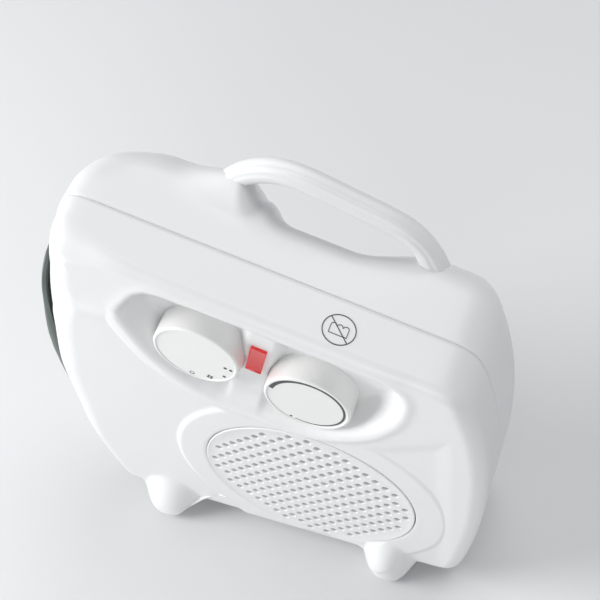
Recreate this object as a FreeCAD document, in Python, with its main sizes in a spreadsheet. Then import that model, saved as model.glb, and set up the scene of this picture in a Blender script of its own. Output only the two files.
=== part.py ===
"""Compact fan heater with a ceramic (PTC) element.

Frame: millimetres, +Z up, +X to the right seen from the front, air leaves towards -Y.
The origin is the bottom centre of the overall box, on the surface that the feet stand on.
"""
import FreeCAD, Part
import math
import os
import re
import Sketcher
from FreeCAD import Placement, Rotation, Vector

doc = FreeCAD.newDocument("fan_heater")
sheet = doc.addObject("Spreadsheet::Sheet", "Dims")

# The driving dimensions, in millimetres and degrees.
DIMENSIONS = {
    # body
    "overall_width": 257.0,
    "body_top": 273.0,          # height of the sloping top line above the left shoulder
    "top_slope": 0.29,          # fall of the top line per millimetre to the right
    "shoulder_x": -76.5,
    "base_height": 10.0,        # underside of the body above the table
    "front_y": -37.0,
    "seam_y": -8.0,
    "rear_y": 44.0,
    "wall": 2.4,
    "left_wide_z": 115.0,
    "left_lower_bow": 400.0,
    "left_upper_bow": 350.0,
    "right_wide_z": 140.0,
    "right_lower_bow": 536.0,
    "right_upper_bow": 241.0,
    "shoulder_radius": 18.0,
    "corner_radius": 14.0,
    "front_edge_radius": 8.0,
    "rear_edge_radius": 11.0,
    "side_bulge": 7.0,          # the side intake stands this far out of the left wall
    # feet
    "foot_width": 28.0,
    "foot_reach": 50.0,         # how far the toes reach to the front and to the back
    "foot_rise": 27.0,
    "left_foot_x": -73.0,
    "right_foot_x": 72.0,
    # air path
    "air_x": 28.0,
    "air_z": 81.0,
    "grille_radius": 62.0,
    "grille_hole": 1.8,
    "grille_pitch": 7.3,
    "duct_radius": 58.0,
    "duct_wall": 2.0,
    "duct_flange": 63.0,
    "duct_end_y": 14.0,
    "fit_gap": 0.3,
    # controls
    "panel_depth": 16.0,
    "knob_radius": 23.2,
    "knob_height": 15.0,
    "knob_gap": 0.5,
    "function_x": -18.9,
    "function_z": 198.7,
    "thermostat_x": 37.3,
    "thermostat_z": 178.2,
    "control_shaft": 3.0,
    "running_clearance": 0.06,
    "lamp_x": 10.5,
    "lamp_z": 197.0,
    "lamp_width": 8.4,
    "lamp_height": 22.0,
    "lamp_rise": 9.2,           # the lens face stands this far above the recess floor
    "lamp_rim": 1.4,            # wall of the pedestal round the lens
    # heating element
    "element_width": 84.0,
    "element_depth": 14.0,
    "element_front_y": -30.0,
    "fin_height": 9.0,
    "fin_thickness": 0.5,
    "fin_pitch": 3.0,
    "stone_thickness": 2.4,
    "electrode_thickness": 0.6,
    "frame_thickness": 2.0,
    # fan and motor
    "fan_radius": 54.0,
    "fan_depth": 16.0,
    "fan_front_y": -11.0,
    "hub_radius": 15.0,
    "motor_shaft": 2.0,
    "bearing_radius": 5.0,
    "bearing_length": 6.0,
    "rotor_radius": 13.0,
    "rotor_length": 18.0,
    "air_gap": 0.5,
    "stator_width": 56.0,
    "stator_height": 48.0,
    "bracket_thickness": 2.0,
    "motor_front_y": 10.5,
    # grip
    "grip_front_y": 26.0,
    "grip_rear_y": 39.0,
    # fasteners
    "post_radius": 4.5,
    "screw_radius": 1.5,
    "screw_head": 3.0,
}

for row, (alias, value) in enumerate(DIMENSIONS.items(), start=1):
    sheet.set(f"A{row}", alias)
    sheet.set(f"B{row}", str(value))
    sheet.setAlias(f"B{row}", alias)
doc.recompute()


class Dims:
    """The spreadsheet's values by name, for the shapes that are made in code."""

    def __getattr__(self, alias):
        return float(sheet.get(alias))


d = Dims()
nodes = []


def expression(text):
    """Turns the aliases in a formula into references to the spreadsheet's cells."""
    return re.sub(r"[a-z][a-z_]+", lambda m: f"Dims.{m[0]}" if m[0] in DIMENSIONS else m[0], str(text))


def bind(obj, sizes):
    for prop, text in sizes.items():
        obj.setExpression(prop, expression(text))
    return obj


def place(obj, x, y, z, rotation=None):
    obj.Placement = Placement(Vector(0, 0, 0), rotation or Rotation())
    return bind(obj, {"Placement.Base.x": x, "Placement.Base.y": y, "Placement.Base.z": z})


def node(obj, label):
    obj.Label = label
    nodes.append(obj)
    return obj


BACKWARD = Rotation(Vector(1, 0, 0), -90)   # turns +Z to +Y, into the heater
FORWARD = Rotation(Vector(1, 0, 0), 90)     # turns +Z to -Y, out of the front
SIDEWAYS = Rotation(Vector(0, 1, 0), 90)    # turns +Z to +X


def cylinder(name, radius, length, x, y, z, rotation=BACKWARD):
    obj = bind(doc.addObject("Part::Cylinder", name), {"Radius": radius, "Height": length})
    return place(obj, x, y, z, rotation)


def block(name, width, depth, height, x, y, z):
    """A box centred on x and z, from y backwards."""
    obj = bind(doc.addObject("Part::Box", name), {"Length": width, "Width": depth, "Height": height})
    return place(obj, f"({x}) - ({width}) / 2", y, f"({z}) - ({height}) / 2")


def fuse(name, *pieces):
    obj = doc.addObject("Part::MultiFuse", name)
    obj.Shapes = list(pieces)
    return obj


def cut(name, base, *tools):
    obj = doc.addObject("Part::Cut", name)
    obj.Base = base
    obj.Tool = tools[0] if len(tools) == 1 else fuse(name + "_tools", *tools)
    return obj


def made(name, shape):
    """A document object for a shape that neither a body nor primitives can make."""
    obj = doc.addObject("Part::Feature", name)
    obj.Shape = shape
    obj.Placement = Placement()
    return obj


def tube_body(name, outer, inner, length, x, y, z, rotation=BACKWARD, edge=None):
    """A body padded from one or two circles; inner is None for a solid disc."""
    body = doc.addObject("PartDesign::Body", name)
    plane = next(f for f in body.Origin.OriginFeatures if f.Role == "XY_Plane")
    sketch = body.newObject("Sketcher::SketchObject", name + "_sketch")
    sketch.AttachmentSupport = [(plane, "")]
    sketch.MapMode = "FlatFace"
    for index, radius in enumerate(r for r in (outer, inner) if r is not None):
        sketch.addGeometry(Part.Circle(Vector(0, 0, 0), Vector(0, 0, 1), 10.0 - index))
        sketch.addConstraint(Sketcher.Constraint("Coincident", index, 3, -1, 1))
        number = sketch.addConstraint(Sketcher.Constraint("Radius", index, 10.0 - index))
        sketch.setExpression(f"Constraints[{number}]", expression(radius))
    pad = body.newObject("PartDesign::Pad", name + "_pad")
    pad.Profile = sketch
    bind(pad, {"Length": length})
    if edge is not None:
        doc.recompute()
        rim = max(range(len(pad.Shape.Edges)), key=lambda i: pad.Shape.Edges[i].CenterOfMass.z)
        fillet = body.newObject("PartDesign::Fillet", name + "_edge")
        fillet.Base = (pad, [f"Edge{rim + 1}"])
        bind(fillet, {"Radius": edge})
    return place(body, x, y, z, rotation)


def bored(name, body, radius, length, x, y, z):
    return cut(name, body, cylinder(name + "_bore", radius, length, x, y, z))


# Outlines

def rounded_face(corners, y):
    """A face at depth y from corners (x, z, radius), each rounded with a tangent arc."""
    points = [Vector(x, y, z) for x, z, _ in corners]
    count = len(corners)
    ends = []
    for i, (_, _, radius) in enumerate(corners):
        here = points[i]
        back = (points[i - 1] - here).normalize()
        ahead = (points[(i + 1) % count] - here).normalize()
        if radius == 0:
            ends.append((here, None, here))
            continue
        half = back.getAngle(ahead) / 2
        reach = radius / math.tan(half)
        middle = (back + ahead).normalize() * (radius / math.sin(half) - radius)
        ends.append((here + back * reach, here + middle, here + ahead * reach))
    edges = []
    for i, (start, middle, end) in enumerate(ends):
        if middle is not None:
            edges.append(Part.Arc(start, middle, end).toShape())
        following = ends[(i + 1) % count][0]
        if end.distanceToPoint(following) > 1e-6:
            edges.append(Part.LineSegment(end, following).toShape())
    return Part.Face(Part.Wire(edges))


def prism(corners, y_from, y_to):
    return rounded_face(corners, y_from).extrude(Vector(0, y_to - y_from, 0))


def grown_prism(corners, grow, y_from, y_to):
    face = Part.Face(rounded_face(corners, y_from).OuterWire.makeOffset2D(grow))
    return face.extrude(Vector(0, y_to - y_from, 0))


def rod(radius, x, y_from, y_to, z):
    return Part.makeCylinder(radius, y_to - y_from, Vector(x, y_from, z), Vector(0, 1, 0))


def top_line(x, inset=0.0):
    """Height of the sloping top of the body at x."""
    drop = inset * math.sqrt(1 + d.top_slope ** 2)
    return d.body_top - d.top_slope * (x - d.shoulder_x) - drop


def body_edges(inset, y):
    """The body's outline at depth y: a flat base, bowed sides and a sloping top."""
    left = -d.overall_width / 2 + d.side_bulge
    right = d.overall_width / 2
    base = d.base_height + inset

    def side(x_wide, z_wide, bow, sign, z):
        radius = bow - inset
        return x_wide + sign * (bow - math.sqrt(radius ** 2 - (z - z_wide) ** 2))

    def meet_top(x_wide, z_wide, bow, sign):
        z = z_wide
        for _ in range(60):
            z = top_line(side(x_wide, z_wide, bow, sign, z), inset)
        return z

    top_left = meet_top(left, d.left_wide_z, d.left_upper_bow, 1)
    top_right = meet_top(right, d.right_wide_z, d.right_upper_bow, -1)
    runs = [
        (right, d.right_wide_z, d.right_lower_bow, -1, base, d.right_wide_z),
        (right, d.right_wide_z, d.right_upper_bow, -1, d.right_wide_z, top_right),
        (left, d.left_wide_z, d.left_upper_bow, 1, top_left, d.left_wide_z),
        (left, d.left_wide_z, d.left_lower_bow, 1, d.left_wide_z, base),
    ]
    arcs = []
    for x_wide, z_wide, bow, sign, z_from, z_to in runs:
        heights = (z_from, (z_from + z_to) / 2, z_to)
        arcs.append([Vector(side(x_wide, z_wide, bow, sign, z), y, z) for z in heights])
    edges = [Part.LineSegment(arcs[3][2], arcs[0][0]).toShape()]
    edges += [Part.Arc(*arcs[0]).toShape(), Part.Arc(*arcs[1]).toShape()]
    edges.append(Part.LineSegment(arcs[1][2], arcs[2][0]).toShape())
    edges += [Part.Arc(*arcs[2]).toShape(), Part.Arc(*arcs[3]).toShape()]
    return edges


def body_prism(inset, y_from, y_to, end_radius=0.0):
    """The body's outline swept from y_from to y_to, with its corners and its far end rounded."""
    solid = Part.Face(Part.Wire(body_edges(inset, y_from))).extrude(Vector(0, y_to - y_from, 0))
    along = [e for e in solid.Edges if abs(e.Vertexes[0].Y - e.Vertexes[-1].Y) > 1 and is_sharp(solid, e)]
    shoulder = max(along, key=lambda e: e.Vertexes[0].Z)
    solid = solid.makeFillet(d.shoulder_radius - inset, [shoulder])
    along = [e for e in solid.Edges if abs(e.Vertexes[0].Y - e.Vertexes[-1].Y) > 1 and is_sharp(solid, e)]
    solid = solid.makeFillet(d.corner_radius - inset, along)
    if end_radius > 0:
        rim = [e for e in solid.Edges if all(abs(v.Y - y_to) < 1e-6 for v in e.Vertexes)]
        solid = solid.makeFillet(end_radius, rim)
    return solid


def is_sharp(solid, edge):
    """True for an edge between faces that meet at an angle."""
    faces = solid.ancestorsOfType(edge, Part.Face)
    point = edge.Vertexes[0].Point
    normals = [f.normalAt(*f.Surface.parameter(point)) for f in faces]
    return abs(normals[0].dot(normals[1])) < 0.98


# The swoosh-shaped control recess: corners as x, z and radius.
PANEL = [(-58.5, 225.5, 4.0), (-36.0, 250.5, 7.0), (90.5, 219.0, 9.0), (82.0, 167.0, 26.0),
         (38.0, 146.5, 24.0), (-9.0, 169.5, 30.0), (-40.0, 179.5, 24.0)]
SCOOP_Y = 14.0      # depth from which the finger opening runs through to the back
# The grip: its outer outline, and the opening that fingers pass through.
GRIP = [(-50.0, 222.0, 0.0), (-38.0, 259.0, 28.0), (4.0, 279.5, 18.0), (78.0, 249.5, 14.0),
        (92.0, 208.0, 0.0), (60.0, 200.0, 0.0), (-20.0, 212.0, 0.0)]
GRIP_OPENING = [(-6.0, 247.0, 4.0), (2.0, 264.5, 7.0), (70.0, 236.5, 6.0), (74.0, 223.5, 6.0),
                (52.0, 221.5, 20.0), (22.0, 229.0, 30.0), (5.0, 238.0, 12.0)]
# Screw posts, as x and z.
POSTS = [(-95.0, 34.0), (102.0, 27.0), (-86.0, 236.0), (107.0, 194.0)]

KNOBS = [(d.function_x, d.function_z), (d.thermostat_x, d.thermostat_z)]
panel_floor = d.front_y + d.panel_depth
front_face_limit = d.front_y - 5
inner_front = d.front_y + d.wall
inner_rear = d.rear_y - d.wall


WINDOW_Y = 4.0
WINDOW_Z = 138.0
WINDOW_HALF_DEPTH = 24.0
WINDOW_HALF_HEIGHT = 78.0


def side_window(grow, x_from, x_to):
    """The window in the left flank, a tall rounded opening seen from the side."""
    half_depth = WINDOW_HALF_DEPTH + grow
    half_height = WINDOW_HALF_HEIGHT + grow
    radius = half_depth * 0.8
    corners = [(WINDOW_Y - half_depth, WINDOW_Z - half_height, radius),
               (WINDOW_Y + half_depth, WINDOW_Z - half_height, radius),
               (WINDOW_Y + half_depth, WINDOW_Z + half_height, radius),
               (WINDOW_Y - half_depth, WINDOW_Z + half_height, radius)]
    face = rounded_face(corners, 0)
    face.rotate(Vector(0, 0, 0), Vector(0, 0, 1), 90)
    face.translate(Vector(x_from, 0, 0))
    return face.extrude(Vector(x_to - x_from, 0, 0))


def toe(x, sign):
    """A foot moulded on a shell: it swells out of the wall and stands on the table."""
    wall_y = d.front_y if sign < 0 else d.rear_y
    tip = sign * d.foot_reach
    back = wall_y - sign * 16
    profile = [Vector(x - d.foot_width / 2, y, z) for y, z in (
        (wall_y - sign * 0.5, d.foot_rise), (tip, 9.0), (tip, 0.0), (back, 0.0),
        (back, d.base_height + d.wall), (wall_y - sign * 0.5, d.base_height + d.wall))]
    solid = Part.Face(Part.makePolygon(profile + profile[:1])).extrude(Vector(d.foot_width, 0, 0))
    at_tip = [e for e in solid.Edges if all(abs(v.Y - tip) < 1e-6 for v in e.Vertexes)]
    rounded = [e for e in at_tip if abs(e.Vertexes[0].X - e.Vertexes[1].X) < 1e-6]
    return solid.makeFillet(7.0, rounded)


# Shells

window = side_window(d.fit_gap, -150, -90)

front = body_prism(0, d.seam_y, d.front_y, d.front_edge_radius)
front = front.fuse([toe(d.left_foot_x, -1), toe(d.right_foot_x, -1)])
hollow = body_prism(d.wall, d.seam_y + 1, inner_front, d.front_edge_radius - d.wall)
tray = grown_prism(PANEL, d.wall, d.front_y, panel_floor + d.wall).common(front)
posts = [rod(d.post_radius, x, inner_front - 0.5, d.seam_y, z) for x, z in POSTS]
front = front.cut(hollow).fuse([tray] + posts)
rise = d.lamp_rise - 0.5
pedestal = Part.makeBox(d.lamp_width + 2 * d.lamp_rim, rise + d.wall, d.lamp_height + 2 * d.lamp_rim,
                        Vector(d.lamp_x - d.lamp_width / 2 - d.lamp_rim, panel_floor - rise,
                               d.lamp_z - d.lamp_height / 2 - d.lamp_rim))
knob_wells = [rod(d.knob_radius + d.fit_gap, x, front_face_limit, panel_floor, z) for x, z in KNOBS]
front = front.cut(prism(PANEL, front_face_limit, panel_floor)).fuse(pedestal.cut(knob_wells))
openings = []
openings.append(rod(d.grille_radius + d.fit_gap, d.air_x, d.front_y - 1, inner_front + 1, d.air_z))
openings += [rod(d.screw_radius, x, d.front_y + 12, d.seam_y + 1, z) for x, z in POSTS]
for knob_x, knob_z in KNOBS:
    openings.append(rod(d.control_shaft + 1, knob_x, panel_floor - 1, panel_floor + d.wall + 1, knob_z))
lens_play = 0.1
lens_corner = Vector(d.lamp_x - d.lamp_width / 2 - lens_play, panel_floor - d.lamp_rise,
                     d.lamp_z - d.lamp_height / 2 - lens_play)
lens_hole = Part.makeBox(d.lamp_width + 2 * lens_play, d.lamp_rise + 2 * d.wall,
                         d.lamp_height + 2 * lens_play, lens_corner)
openings += [lens_hole, window]
node(made("front_shell", front.cut(openings)), "front_shell")

rear = body_prism(0, d.seam_y, d.rear_y, d.rear_edge_radius)
grip = prism(GRIP, d.grip_front_y, d.grip_rear_y)
grip = grip.fuse([toe(d.left_foot_x, 1), toe(d.right_foot_x, 1)])
hollow = body_prism(d.wall, d.seam_y - 1, inner_rear, d.rear_edge_radius - d.wall)
grip_tray = grown_prism(GRIP_OPENING, d.wall, SCOOP_Y - d.wall, d.rear_y).common(rear)
posts = [rod(d.post_radius, x, d.seam_y, inner_rear + 0.5, z) for x, z in POSTS]
rear = rear.fuse(grip).cut(hollow).fuse([grip_tray] + posts)
gland_x, gland_z = 96.0, 44.0
openings = [prism(GRIP_OPENING, SCOOP_Y, d.rear_y + 8), window]
openings += [rod(d.screw_radius + 0.2, x, d.seam_y - 1, d.rear_y, z) for x, z in POSTS]
openings += [rod(d.screw_head + 0.3, x, d.rear_y - 12, d.rear_y + 1, z) for x, z in POSTS]
openings.append(rod(d.duct_radius + d.fit_gap, d.air_x, inner_rear - 1, d.rear_y + 1, d.air_z))
openings.append(rod(6.2, gland_x, inner_rear - 1, d.rear_y + 1, gland_z))
node(made("rear_shell", rear.cut(openings)), "rear_shell")

# Grilles

plate = rod(d.grille_radius, d.air_x, d.front_y, inner_front, d.air_z)
holes = []
reach = int(d.grille_radius / d.grille_pitch) + 2
for i in range(-2 * reach, 2 * reach + 1):
    for j in range(-2 * reach, 2 * reach + 1):
        across = (i + j) * d.grille_pitch / math.sqrt(2)
        up = (j - i) * d.grille_pitch / math.sqrt(2)
        if math.hypot(across, up) < d.grille_radius - 4.5:
            holes.append(rod(d.grille_hole, d.air_x + across, d.front_y - 1, inner_front + 1, d.air_z + up))
node(made("front_grille", plate.cut(Part.makeCompound(holes))), "front_grille")

bulge = d.side_bulge
flank_skin = body_prism(-bulge, d.front_y, d.rear_y).cut(body_prism(2 - bulge, d.front_y - 1, d.rear_y + 1))
flank_ring = body_prism(-bulge, d.front_y, d.rear_y).cut(body_prism(d.wall, d.front_y - 1, d.rear_y + 1))
pane = side_window(0, -150, -90)
rim = pane.cut(side_window(-2.4, -151, -89))
flange = body_prism(d.wall, d.front_y, d.rear_y).cut(body_prism(d.wall + 1.6, d.front_y - 1, d.rear_y + 1))
flange = flange.common(side_window(3, -149, -91).cut(side_window(-2.4, -151, -89)))
flank = flank_skin.common(pane).fuse([flank_ring.common(rim), flange])
slots = []
slot_pitch, slot_height = 7.0, 3.6
slot_count = 19
for i in range(slot_count):
    slot_z = 138.0 + (i - (slot_count - 1) / 2) * slot_pitch
    slots.append(Part.makeBox(60, 96, slot_height, Vector(-150, -44, slot_z - slot_height / 2)))
slots = side_window(-5, -150, -90).common(Part.makeCompound(slots))
node(made("side_intake_grille", flank.cut(slots)), "side_intake_grille")

disc = rod(d.duct_radius, d.air_x, inner_rear, d.rear_y + 2, d.air_z)
rings = []
for inner in range(10, 52, 7):
    ring = rod(inner + 4.5, d.air_x, inner_rear - 1, d.rear_y + 3, d.air_z)
    rings.append(ring.cut(rod(inner, d.air_x, inner_rear - 2, d.rear_y + 4, d.air_z)))
spokes = [Part.makeBox(d.duct_radius * 2, 20, 4, Vector(-d.duct_radius, inner_rear - 4, -2)) for _ in range(3)]
for i, spoke in enumerate(spokes):
    spoke.rotate(Vector(0, 0, 0), Vector(0, 1, 0), 60 * i)
    spoke.translate(Vector(d.air_x, 0, d.air_z))
rings = Part.makeCompound(rings).cut(spokes)
seat = rod(d.duct_radius + 3, d.air_x, inner_rear - 1.6, inner_rear, d.air_z)
seat = seat.cut(rod(d.duct_radius - 4, d.air_x, inner_rear - 2, inner_rear + 1, d.air_z))
node(made("rear_intake_grille", disc.cut(rings).fuse(seat)), "rear_intake_grille")

# Controls

for label, x, z in (("function", "function_x", "function_z"), ("thermostat", "thermostat_x", "thermostat_z")):
    floor = "front_y + panel_depth"
    knob = tube_body(label + "_knob_blank", "knob_radius", None, "knob_height",
                     x, f"{floor} - knob_gap", z, FORWARD, edge="1.6")
    socket_depth = "8"
    node(bored(label + "_knob_bored", knob, "control_shaft", socket_depth,
               x, f"{floor} - knob_gap - {socket_depth}", z), label + "_knob")
    back = "front_y + panel_depth + wall"
    node(cylinder(label + "_shaft_rod", "control_shaft", "wall + knob_gap + 8 + 5",
                  x, f"{floor} - knob_gap - 8", z), label + "_shaft")
    case = block(label + "_case", "26", "14", "24", x, back, z)
    node(bored(label + "_case_bored", case, "control_shaft + running_clearance", "7",
               x, f"{back} - 0.5", z), label + ("_switch" if label == "function" else "_bimetal_switch"))
    tabs = [block(f"{label}_tab_{i}", "6.3", "9", "0.8", f"{x} + {(i - 1) * 8.5}", f"{back} + 14", z)
            for i in range(3)]
    node(fuse(label + "_tabs", *tabs), label + "_terminals")

node(block("lens_face", "lamp_width", "lamp_rise + wall", "lamp_height",
           "lamp_x", "front_y + panel_depth - lamp_rise", "lamp_z"), "indicator_lens")
holder = block("holder_case", "lamp_width + 6", "10", "lamp_height + 2", "lamp_x",
               "front_y + panel_depth + wall", "lamp_z")
holder_bore = block("holder_bore", "lamp_width - 1", "8", "lamp_height - 4", "lamp_x",
                    "front_y + panel_depth + wall - 0.5", "lamp_z")
node(cut("holder_hollow", holder, holder_bore), "indicator_holder")
node(cylinder("neon_tube", "2.4", "lamp_height - 8", "lamp_x", "front_y + panel_depth + wall + 5.1",
              "lamp_z - (lamp_height - 8) / 2", Rotation()), "neon_lamp")

# Air duct and heating element

duct = tube_body("duct_tube", "duct_radius + duct_wall", "duct_radius",
                 "duct_end_y - front_y - wall", "air_x", "front_y + wall", "air_z")
flange = tube_body("duct_flange", "duct_flange", "duct_radius", "2", "air_x", "front_y + wall", "air_z")
node(fuse("duct", duct, flange), "air_duct")

fin_rows = 5
stone_rows = fin_rows - 1
layer = d.stone_thickness + 2 * d.electrode_thickness
stack_pitch = d.fin_height + layer
stack_height = fin_rows * d.fin_height + stone_rows * layer
stack_bottom = d.air_z - stack_height / 2
element_left = d.air_x - d.element_width / 2


def slab(width, height, x, z, thickness_y=None):
    depth = thickness_y or d.element_depth
    return Part.makeBox(width, depth, height, Vector(x, d.element_front_y, z))


fins, stones, electrodes = [], [], []
fin_count = int(d.element_width / d.fin_pitch)
for row in range(fin_rows):
    z = stack_bottom + row * stack_pitch
    for i in range(fin_count):
        fins.append(slab(d.fin_thickness, d.fin_height, element_left + (i + 0.5) * d.fin_pitch, z))
for row in range(stone_rows):
    z = stack_bottom + d.fin_height + row * stack_pitch
    electrodes.append(slab(d.element_width, d.electrode_thickness, element_left, z))
    electrodes.append(slab(d.element_width, d.electrode_thickness, element_left,
                           z + d.electrode_thickness + d.stone_thickness))
    stone_count = 5
    stone_pitch = d.element_width / stone_count
    for i in range(stone_count):
        stones.append(slab(stone_pitch - 1, d.stone_thickness, element_left + i * stone_pitch + 0.5,
                           z + d.electrode_thickness))
node(made("heater_fins", Part.makeCompound(fins)), "heater_fins")
node(made("ceramic_stones", Part.makeCompound(stones)), "ceramic_stones")
node(made("electrode_plates", Part.makeCompound(electrodes)), "electrode_plates")

# The element sits in two end channels on a round carrier plate.
element_rear = d.element_front_y + d.element_depth
carrier = rod(d.duct_radius - d.fit_gap, d.air_x, element_rear, element_rear + d.frame_thickness, d.air_z)
clear = Part.makeBox(d.element_width, 20, stack_height, Vector(element_left, element_rear - 5, stack_bottom))
caps = []
for z in (stack_bottom - d.frame_thickness, stack_bottom + stack_height):
    caps.append(slab(d.element_width, d.frame_thickness, element_left, z))
side_height = stack_height + 2 * d.frame_thickness
for x in (element_left - d.frame_thickness, element_left + d.element_width):
    caps.append(slab(d.frame_thickness, side_height, x, stack_bottom - d.frame_thickness))
node(made("heater_frame", carrier.cut(clear).fuse(caps)), "heater_frame")

cutout_z = f"air_z + {stack_height / 2 + 11.5:.2f}"
node(tube_body("cutout_can", "8", None, "9", "air_x", f"{element_rear - 9:.2f}", cutout_z), "thermal_cutout")
node(cylinder("fuse_tube", "2", "18", "air_x - 9", f"{element_rear - 2:.2f}",
              f"air_z - {stack_height / 2 + 8:.2f}", SIDEWAYS), "thermal_fuse")

# Fan


def blade(angle):
    """One pitched fan blade, from inside the hub to the tip, trimmed by the fan's own cylinder."""
    chord, thickness = 40.0, 1.6
    pitch_root, pitch_tip = 46.0, 24.0
    sections = []
    for radius, pitch in ((d.hub_radius - 3, pitch_root), (d.fan_radius + 2, pitch_tip)):
        corners = [(-1, -1), (1, -1), (1, 1), (-1, 1), (-1, -1)]
        face = Part.makePolygon([Vector(a * chord / 2, b * thickness / 2, radius) for a, b in corners])
        face.rotate(Vector(0, 0, 0), Vector(0, 0, 1), pitch)
        sections.append(face)
    solid = Part.makeLoft(sections, True, True)
    solid.rotate(Vector(0, 0, 0), Vector(0, 1, 0), angle)
    solid.translate(Vector(d.air_x, d.fan_front_y + d.fan_depth / 2, d.air_z))
    return solid


blade_count = 7
blades = [blade(360 * i / blade_count) for i in range(blade_count)]
sweep = rod(d.fan_radius, d.air_x, d.fan_front_y, d.fan_front_y + d.fan_depth, d.air_z)
sweep = sweep.cut(rod(d.hub_radius - 1, d.air_x, d.fan_front_y - 1, d.fan_front_y + d.fan_depth + 1, d.air_z))
hub = rod(d.hub_radius, d.air_x, d.fan_front_y, d.fan_front_y + d.fan_depth, d.air_z)
fan_bore = rod(d.motor_shaft, d.air_x, d.fan_front_y - 1, d.fan_front_y + d.fan_depth + 1, d.air_z)
fan = hub.fuse([b.common(sweep) for b in blades]).cut(fan_bore)
node(made("fan_impeller", fan), "fan_impeller")

node(tube_body("clip_ring", "5", "motor_shaft", "1.2", "air_x", "fan_front_y - 1.2", "air_z"), "fan_clip")

# Motor

shaft_front = "fan_front_y - 2"
motor_rear = "motor_front_y + 26"
node(cylinder("shaft_rod", "motor_shaft", f"({motor_rear} + 2) - ({shaft_front})", "air_x", shaft_front, "air_z"),
     "motor_shaft")
rotor_y = "motor_front_y + (26 - rotor_length) / 2"
node(tube_body("rotor_core", "rotor_radius", "motor_shaft", "rotor_length", "air_x", rotor_y, "air_z"),
     "motor_rotor")
stator = block("stator_stack", "stator_width", "rotor_length", "stator_height", "air_x", rotor_y, "air_z - 6")
stator_bore = cylinder("stator_bore", "rotor_radius + air_gap", "rotor_length + 2",
                       "air_x", f"{rotor_y} - 1", "air_z")
stator_slot = block("stator_slot", "30", "rotor_length + 2", "8", "air_x", f"{rotor_y} - 1", "air_z - 19")
node(cut("stator", stator, stator_bore, stator_slot), "motor_stator")
coil = block("coil_block", "26", "rotor_length + 6", "20", "air_x", f"{rotor_y} - 3", "air_z - 33")
coil_clear = block("coil_clear", "30", "rotor_length", "10", "air_x", rotor_y, "air_z - 25")
node(cut("coil", coil, coil_clear), "motor_coil")

for label, y in (("front", "motor_front_y - 4"), ("rear", f"{motor_rear} - 2")):
    bearing_y = y
    node(tube_body(label + "_bush", "bearing_radius", "motor_shaft + running_clearance", "bearing_length",
                   "air_x", bearing_y, "air_z"), label + "_bearing")
    strap_y = f"{bearing_y} + 4" if label == "front" else bearing_y
    strap = block(label + "_strap", "stator_width", "bracket_thickness", "14", "air_x", strap_y, "air_z")
    legs_y = f"{bearing_y} + 4" if label == "front" else rotor_y + " + rotor_length"
    legs_depth = f"({rotor_y}) - ({bearing_y} + 4)" if label == "front" else \
        f"({bearing_y} + bracket_thickness) - ({rotor_y} + rotor_length)"
    legs = [block(f"{label}_leg_{side}", "6", legs_depth, "14", f"air_x + {side} * (stator_width / 2 - 3)",
                  legs_y, "air_z") for side in (-1, 1)]
    hub_bore = cylinder(label + "_hub_bore", "bearing_radius", "bracket_thickness + 2",
                        "air_x", f"{strap_y} - 1", "air_z")
    pilots = [cylinder(f"{label}_pilot_{side}", "screw_radius", "4", f"air_x + {side} * (stator_width / 2 - 3)",
                       strap_y, "air_z") for side in (-1, 1)]
    bracket = fuse(label + "_bracket_blank", strap, *legs)
    node(cut(label + "_bracket_cut", bracket, hub_bore, *pilots), label + "_bracket")

# The spider carries the motor on the duct's rear end.
spider_y = d.motor_front_y
spider = rod(d.duct_radius - d.fit_gap, d.air_x, spider_y - 4, spider_y, d.air_z)
spider = spider.cut(rod(d.duct_radius - 3, d.air_x, spider_y - 5, spider_y + 1, d.air_z))
plate = Part.makeBox(d.stator_width, 2, 16, Vector(d.air_x - d.stator_width / 2, spider_y - 2, d.air_z - 8))
arm_reach = d.duct_radius - 2
arms = [Part.makeBox(2 * arm_reach, 2, 8, Vector(d.air_x - arm_reach, spider_y - 2, d.air_z - 4)),
        Part.makeBox(8, 2, 2 * arm_reach, Vector(d.air_x - 4, spider_y - 2, d.air_z - arm_reach))]
screw_x = d.stator_width / 2 - 3
spider_holes = [rod(d.screw_radius, d.air_x + side * screw_x, spider_y - 6, spider_y + 1, d.air_z)
                for side in (-1, 1)]
spider_holes.append(rod(d.bearing_radius + d.fit_gap, d.air_x, spider_y - 6, spider_y + 1, d.air_z))
spider = spider.fuse([plate] + arms).cut(spider_holes)
node(made("motor_mount", spider), "motor_mount")


def screw(x, z, head_y, length, sign):
    """A pan-head screw whose head sits at head_y and whose shank runs towards sign * Y."""
    head = Part.makeCylinder(d.screw_head, 2, Vector(x, head_y, z), Vector(0, -sign, 0))
    shank = Part.makeCylinder(d.screw_radius - 0.05, length, Vector(x, head_y, z), Vector(0, sign, 0))
    slot = Part.makeBox(4, 1, 0.8, Vector(x - 2, min(head_y - sign * 2, head_y - sign * 1), z - 0.4))
    return head.fuse(shank).cut(slot)


motor_screws = [screw(d.air_x + s * screw_x, d.air_z, spider_y - 2, 4, 1) for s in (-1, 1)]
node(made("motor_screws", Part.makeCompound(motor_screws)), "motor_screws")
case_screws = [screw(x, z, d.rear_y - 12, d.rear_y - d.seam_y, -1) for x, z in POSTS]
node(made("case_screws", Part.makeCompound(case_screws)), "case_screws")

# Mains inlet and wiring

gland = rod(6.0, gland_x, inner_rear - 3, d.rear_y, gland_z)
gland = gland.fuse([rod(8.0, gland_x, d.rear_y, d.rear_y + 2, gland_z),
                    rod(7.6, gland_x, inner_rear - 3, inner_rear, gland_z)])
node(made("cord_gland", gland.cut(rod(3.4, gland_x, inner_rear - 5, d.rear_y + 4, gland_z))), "cord_gland")

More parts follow.
